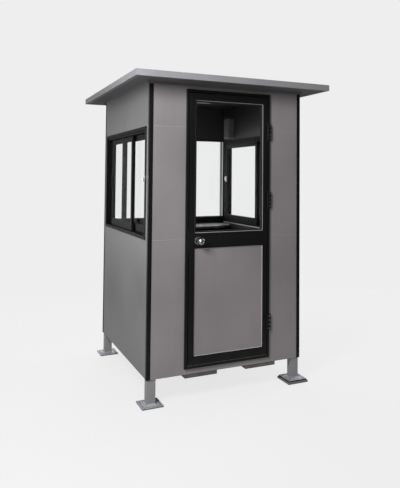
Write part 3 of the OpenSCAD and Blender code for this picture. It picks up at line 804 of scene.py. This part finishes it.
def joint_sealant():
    """Sealant in the joints between the cladding sheets, a little below their faces."""
    piece = Piece()
    deep, face = -0.0036, -0.0002
    joint, clear = 0.0015, 0.001
    sill, head = (corner[2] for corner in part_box("left_window_frame"))
    half_span = -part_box("left_cladding")[0][1]
    spans = {"front": [(-HALF_W, FRAME_LOW[0]), (FRAME_HIGH[0], HALF_W)]}
    for side in SIDES:
        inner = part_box(side + "_window_frame")[1][1]
        spans[side] = [(-half_span, -inner), (inner, half_span)]
    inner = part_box("back_window_frame")[1][0]
    spans["back"] = [(-HALF_W, -inner), (inner, HALF_W)]
    for side, pairs in spans.items():
        for v in (sill, head):
            for u0, u1 in pairs:
                piece.on_wall(side, (u0 + clear, v - joint, deep), (u1 - clear, v + joint, face), 0)
    for u in (FRAME_LOW[0] + joint, FRAME_HIGH[0] - joint):
        for v0, v1 in ((Z_LOW + clear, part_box("door_kick_strip")[1][2]),
                       (FRAME_HIGH[2], Z_TOP - clear)):
            piece.on_wall("front", (u - joint, v0, deep), (u + joint, v1, face), 0)
    piece.make("joint_sealant", "cabin", SEALANT)


def frame_sealant():
    """A bead of sealant where the door frame and the side windows meet the cladding."""
    piece = Piece()
    outline = [(0.0, -0.0004), (-0.0026, -0.0004), (-0.0021, 0.0014), (-0.0008, 0.0026), (0.0, 0.0030)]
    piece.ring("front", FRAME_LOW[0], FRAME_HIGH[0], FRAME_LOW[2], FRAME_HIGH[2], outline)
    for side in SIDES:
        (u0, v0, _), (u1, v1, _) = window_frame(side)
        piece.ring(side, u0, u1, v0, v1, outline)
    piece.make("frame_sealant", "cabin", RUBBER)


def spread_out(low, high, count, end=0.06):
    """Places spaced evenly along a length, with room left at both ends."""
    return [low + end + (high - low - 2 * end) * i / (count - 1) for i in range(count)]


def trim_rivets():
    """Blind rivets along both legs of each corner angle."""
    piece = Piece()
    low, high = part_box("corner_trims")
    inset = 0.013
    outline = [(-0.0005, 0.0036), (0.0002, 0.0036), (0.0010, 0.0026), (0.0013, 0.0012),
               (0.0010, 0.0)]
    for z in spread_out(low[2], high[2], 6):
        for sx in (-1, 1):
            for sy in (-1, 1):
                for at, axis in (((sx * (HALF_W - inset), sy * high[1], z), (0, sy, 0)),
                                 ((sx * high[0], sy * (HALF_D - inset), z), (sx, 0, 0))):
                    piece.lathe(at, axis, outline, 16)
    piece.make("trim_rivets", "cabin", TRIM, smooth=50)


EDGING_LOW, EDGING_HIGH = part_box("roof_edging")
EDGING_LIP = 0.030                              # how far the edging folds in over the panel


def roof_seams():
    """Standing seams along the roof sheet."""
    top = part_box("roof_panel")[1][2]
    outline = [(-0.016, 0.0), (-0.016, 0.001), (-0.005, 0.0016), (-0.0035, 0.007), (0.0035, 0.007),
               (0.005, 0.0016), (0.016, 0.001), (0.016, 0.0)]
    ends = (EDGING_LOW[1] + EDGING_LIP + 0.004, EDGING_HIGH[1] - EDGING_LIP - 0.004)
    piece = Piece()
    for x in (-0.44, -0.147, 0.147, 0.44):
        piece.prism([[Vector((x + t, y, top + h)) for t, h in outline] for y in ends])
    piece.make("roof_seams", "cabin", ROOF_TOP)


def edging_screws():
    """Screws through the upper and the lower lip of the roof's edging."""
    (x0, y0, z0), (x1, y1, z1) = EDGING_LOW, EDGING_HIGH
    inset, radius = EDGING_LIP / 2, 0.004
    piece = Piece()
    for z, way in ((z1, 1), (z0, -1)):
        for x in spread_out(x0, x1, 6):
            for y in (y0 + inset, y1 - inset):
                screw(piece, (x, y, z), (0, 0, way), radius)
        for y in spread_out(y0, y1, 7):
            for x in (x0 + inset, x1 - inset):
                screw(piece, (x, y, z), (0, 0, way), radius)
    piece.make("edging_screws", "cabin", ZINC, smooth=40)


def edging_laps():
    """Lap plates over the butt joints in the edging of the two long sides."""
    low, high = EDGING_LOW, EDGING_HIGH
    joint, half, thick = 0.176, 0.022, 0.0011
    piece = Piece()
    for x, way in ((low[0], -1), (high[0], 1)):
        y = way * joint
        a, b = sorted((x - way * 0.0002, x + way * thick))
        piece.block((a, y - half, low[2] + 0.001), (b, y + half, high[2] - 0.001), 0.0004)
        for z in (low[2] + 0.012, high[2] - 0.012):
            for t in (-0.013, 0.013):
                screw(piece, (x + way * thick, y + t, z), (way, 0, 0), 0.0028)
    piece.make("edging_laps", "cabin", EDGING, smooth=40)


# ---- feet and inside

def at_x(outline, x):
    """An outline of (y, z) points, placed at one X."""
    return [Vector((x, y, z)) for y, z in outline]


def weld_beads():
    """Rippled weld beads where each leg tube meets its base plate."""
    tube, steps = 0.060, 36
    out = tube / 2
    for corner in ("front_left", "front_right", "back_left", "back_right"):
        low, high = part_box("leg_" + corner)
        middle = (low + high) / 2
        plate_top = low[2] + PLATE_T
        piece = Piece()
        for turn in range(4):
            spin = Matrix.Rotation(turn * math.pi / 2, 3, "Z")
            loops = []
            for i in range(steps + 1):
                t = -tube / 2 + tube * i / steps
                ripple = 0.0007 * math.cos(i * math.pi * 0.667) + 0.0003 * math.sin(i * 2.1 + turn)
                size = 0.0046 + ripple
                section = [(out - 0.0004, -0.0003), (out + size, -0.0003),
                           (out + size * 0.75, size * 0.55), (out + size * 0.3, size * 0.9),
                           (out - 0.0004, size)]
                loops.append([Vector((middle[0], middle[1], plate_top + h)) + spin @ Vector((t, -d, 0))
                              for d, h in section])
            piece.prism(loops)
        piece.make("weld_" + corner, "cabin", ZINC, smooth=60)


def counter_band():
    """Edge band along the counter's front and round its corner, with a pale lip at the top that is a
    painted highlight.
    """
    low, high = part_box("counter")
    points = corners("counter")
    straight_end = max(p.x for p in points if p.y < low[1] + 1e-4)
    radius = high[0] - straight_end
    middle = Vector((straight_end, low[1] + radius))
    path = [(Vector((low[0] + 0.0005, low[1])), Vector((0, -1)))]
    steps = 24
    for i in range(steps + 1):
        angle = -math.pi / 2 + math.pi / 2 * i / steps * 0.995
        way = Vector((math.cos(angle), math.sin(angle)))
        path.append((middle + way * radius, way))
    lip = high[2] - 0.0035
    sections = {"counter_band": (((-0.0006, low[2] + 0.0006), (0.0012, low[2] + 0.0012), (0.0012, lip),
                                  (-0.0006, lip)), COUNTER),
                # The pale lip is a painted highlight on the counter's lit top edge.
                "counter_lip_painted_highlight": (((-0.0006, lip + 0.0002), (0.0016, lip + 0.0002),
                                 (0.0014, high[2] - 0.0004), (-0.0006, high[2] + 0.0005)), LINER)}
    for name, (section, material) in sections.items():
        piece = Piece()
        piece.prism([[(*(at + way * d), z) for d, z in section] for at, way in path])
        piece.make(name, "cabin", material, smooth=40)


def counter_brackets():
    """Folded steel brackets that carry the counter from the back wall."""
    low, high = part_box("counter")
    pitch, half, deep, thick = 0.36, 0.018, 0.18, 0.003
    front, back, top = low[1] + 0.09, high[1], low[2]
    outline = [(back, top), (front, top), (front, top - 0.022), (back - 0.022, top - deep),
               (back, top - deep)]
    piece = Piece()
    for x in (-pitch, 0.0, pitch):
        piece.prism([at_x(outline, x + t) for t in (-0.0025, 0.0025)])
        piece.block((x - half, front, top - thick), (x + half, back, top - 0.0002), 0.0008)
        piece.block((x - half, back - thick, top - deep - 0.02), (x + half, back, top), 0.0008)
    piece.make("counter_brackets", "cabin", TRIM)


def wall_box_lid():
    """Lid seam, louvres and screws on the box on the right wall."""
    low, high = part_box("wall_box")
    x = low[0]
    louvres, pitch = 7, 0.008
    piece = Piece()
    for i in range(louvres):
        z = low[2] + 0.022 + i * pitch
        outline = [(0.0, z), (0.0026, z - 0.001), (0.0030, z), (0.0, z + 0.004)]
        piece.prism([[Vector((x - d, y, h)) for d, h in outline]
                     for y in (low[1] + 0.02, high[1] - 0.02)])
    rim, near, far = 0.0015, 0.004, 0.006
    y0, y1, z0, z1 = low[1] + near, high[1] - near, low[2] + near, high[2] - near
    for ya, yb, za, zb in ((y0, y1, z0, low[2] + far), (y0, y1, high[2] - far, z1),
                           (y0, low[1] + far, z0, z1), (high[1] - far, y1, z0, z1)):
        piece.block((x - rim, ya, za), (x + 0.0005, yb, zb), 0.0004)
    corner = 0.012
    for y in (low[1] + corner, high[1] - corner):
        for z in (low[2] + corner, high[2] - corner):
            screw(piece, (x, y, z), (-1, 0, 0), 0.003)
    piece.make("wall_box_lid", "cabin", PLASTIC)


def ceiling_lining():
    """Dark lining boards under the roof panel, with shallow gaps between them."""
    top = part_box("corner_posts")[1][2]
    inner_x, inner_y = -LINING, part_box("back_wall")[0][1]
    boards, gap, thick = 4, 0.003, 0.0035
    width = 2 * inner_y / boards
    piece = Piece()
    for i in range(boards):
        y = -inner_y + i * width
        piece.block((-inner_x + 0.001, y + gap / 2, top - thick),
                    (inner_x - 0.001, y + width - gap / 2, top), 0.0008)
    piece.make("ceiling_lining", "cabin", LINING_COAT)


def lamp_arc(middle, half, top, drop):
    """A half round below a line, from one side to the other, as (y, z) points."""
    turns = (math.pi * i / 16 for i in range(17))
    return [(middle + half * math.cos(a), top - drop * math.sin(a)) for a in turns]


def ceiling_lamp():
    """A batten light: steel tray, curved diffuser and end caps, in place of the plain bar."""
    low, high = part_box("ceiling_light")
    middle = (low[1] + high[1]) / 2
    half = (high[1] - low[1]) / 2
    cap = tray_deep = 0.012
    tray = high[2] - tray_deep
    drop, shell = tray - low[2], 0.002
    body = Piece()
    body.block((low[0] + cap, low[1] + 0.004, tray), (high[0] - cap, high[1] - 0.004, high[2]), 0.001)
    edge = high[2] - 0.0003
    outline = [(middle + half, edge), *lamp_arc(middle, half, tray + 0.001, drop),
               (middle - half, edge)]
    for ends in ((low[0], low[0] + cap), (high[0] - cap, high[0])):
        body.prism([at_x(outline, x) for x in ends])
    body.make("ceiling_light_tray", "cabin", LINER, hides=("ceiling_light",), smooth=40)
    shade = Piece()
    inner = lamp_arc(middle, half - shell, tray + 0.001, drop - shell)
    shade.prism([at_x(inner, x) for x in (low[0] + cap * 0.8, high[0] - cap * 0.8)])
    shade.make("ceiling_light_diffuser", "cabin", DIFFUSER, hides=("ceiling_light",),
               smooth=40)


DETAILS = (
    hinge_screws, hinge_tips, door_gasket, door_glazing, panel_edging, leaf_joints, key_and_turn,
    rosette_screws, latch_plates, threshold, window_gaskets, sash_pulls, window_latches, drain_caps,
    sill_strip, reveal_liners, joint_sealant, frame_sealant, trim_rivets, roof_seams, edging_screws,
    edging_laps, weld_beads, counter_band, counter_brackets, wall_box_lid, ceiling_lining,
    ceiling_lamp,
)
for build in DETAILS:
    build()

# ---- camera, light and floor

SENSOR = 36.0
FRAME_TALL = 488
LENS = 586.2 * SENSOR / FRAME_TALL
SHIFT = (-0.127, -0.1885)
CAMERA_TURN = (26.924, 2.423, 0.275)            # degrees of yaw, pitch and roll
CAMERA_AT = (-1.7354, -4.6517, 1.5647)
FLOOR_GLOW, FLOOR_BOUNCE = 0.848, 0.38          # seen directly, and as light thrown on the booth
FLOOR_CLEAR, FLOOR_GONE = 1.2, 5.0              # where the floor starts and ends its fading
BACKDROP = grey(0.855)
DOME_LOW, DOME_HIGH = 0.10, 0.40


def place_camera():
    """The camera: in front of the booth and to its left, below the height of its roof."""
    data = bpy.data.cameras.new("camera")
    camera = bpy.data.objects.new("camera", data)
    bpy.context.scene.collection.objects.link(camera)
    data.sensor_fit = "AUTO"
    data.sensor_width = SENSOR
    data.lens = LENS
    data.shift_x, data.shift_y = SHIFT
    data.clip_start, data.clip_end = 0.1, 200.0
    yaw, pitch, roll = (math.radians(a) for a in CAMERA_TURN)
    turn = (Matrix.Rotation(-yaw, 4, "Z") @ Matrix.Rotation(math.pi / 2 + pitch, 4, "X")
            @ Matrix.Rotation(roll, 4, "Z"))
    camera.matrix_world = Matrix.Translation(CAMERA_AT) @ turn
    bpy.context.scene.camera = camera


def area_light(name, at, aim, size, power):
    """A square lamp of one size and power, turned towards a point."""
    data = bpy.data.lights.new(name, "AREA")
    data.shape = "RECTANGLE"
    data.size = data.size_y = size
    data.energy = power
    lamp = bpy.data.objects.new(name, data)
    bpy.context.scene.collection.objects.link(lamp)
    lamp.location = at
    lamp.rotation_euler = (Vector(at) - Vector(aim)).to_track_quat("Z", "Y").to_euler()


def studio_world():
    """A pale backdrop, with a softer grey dome that lights the booth from above."""
    world = bpy.data.worlds.new("studio")
    bpy.context.scene.world = world
    world.use_nodes = True
    tree = world.node_tree
    up = add(tree, "SeparateXYZ", {"Vector": add(tree, "TexCoord").outputs["Generated"]}).outputs["Z"]
    dome = blend(tree, remap(tree, up, -0.2, 0.9), grey(DOME_LOW), grey(DOME_HIGH))
    sky = blend(tree, seen_directly(tree), dome, BACKDROP)
    tree.links.new(sky, tree.nodes["Background"].inputs["Color"])


def light_scene():
    """The lamps, each with its place, its aim, its size and its power in watts."""
    studio_world()
    area_light("key", (-2.1, -2.4, 2.8), (-0.6, -0.7, 1.7), 1.0, 100.0)
    area_light("low_fill", (-2.4, -2.4, 0.9), (-0.55, -0.7, 0.8), 0.6, 9.0)
    area_light("side", (-3.4, 4.0, 1.2), (-0.6, 0.7, 0.7), 1.6, 37.0)
    area_light("right_fill", (6.2, 1.6, 3.2), (0.6, 0.1, 1.2), 2.2, 150.0)
    area_light("back_fill", (0.6, 4.3, 6.0), (0.0, 0.7, 1.2), 2.2, 190.0)
    bpy.context.scene.view_settings.view_transform = "Standard"


def floor_paint():
    """Pale paint that looks evenly lit and fades out away from the booth."""
    material, tree, shader = new_material("studio_floor_paint")
    speckle = noise(tree, position(tree), 30.0, 3.0)
    tree.links.new(blend(tree, speckle, grey(0.10), grey(0.11)), shader.inputs["Base Color"])
    tree.links.new(blend(tree, speckle, grey(0.89), grey(0.91)), shader.inputs["Emission Color"])
    tree.links.new(remap(tree, seen_directly(tree), 0.0, 1.0, FLOOR_BOUNCE, FLOOR_GLOW),
                   shader.inputs["Emission Strength"])
    shader.inputs["Roughness"].default_value = 0.9
    shader.inputs["Specular IOR Level"].default_value = 0.0
    reach = add(tree, "VectorMath", {0: position(tree)}, operation="LENGTH").outputs["Value"]
    far = add(tree, "MapRange", {"Value": reach, "From Min": FLOOR_CLEAR, "From Max": FLOOR_GONE},
              interpolation_type="SMOOTHSTEP").outputs["Result"]
    mix_surface(tree, far, shader, add(tree, "BsdfTransparent"))
    return material


def pale_floor():
    """A round pale floor, just under the booth's feet."""
    bm = bmesh.new()
    bmesh.ops.create_circle(bm, cap_ends=True, segments=96, radius=9.0)
    mesh = bpy.data.meshes.new("studio_floor")
    bm.to_mesh(mesh)
    bm.free()
    floor = bpy.data.objects.new("studio_floor", mesh)
    bpy.context.scene.collection.objects.link(floor)
    floor.location = (0, 0, -0.0005)
    mesh.materials.append(floor_paint())


place_camera()
light_scene()
pale_floor()
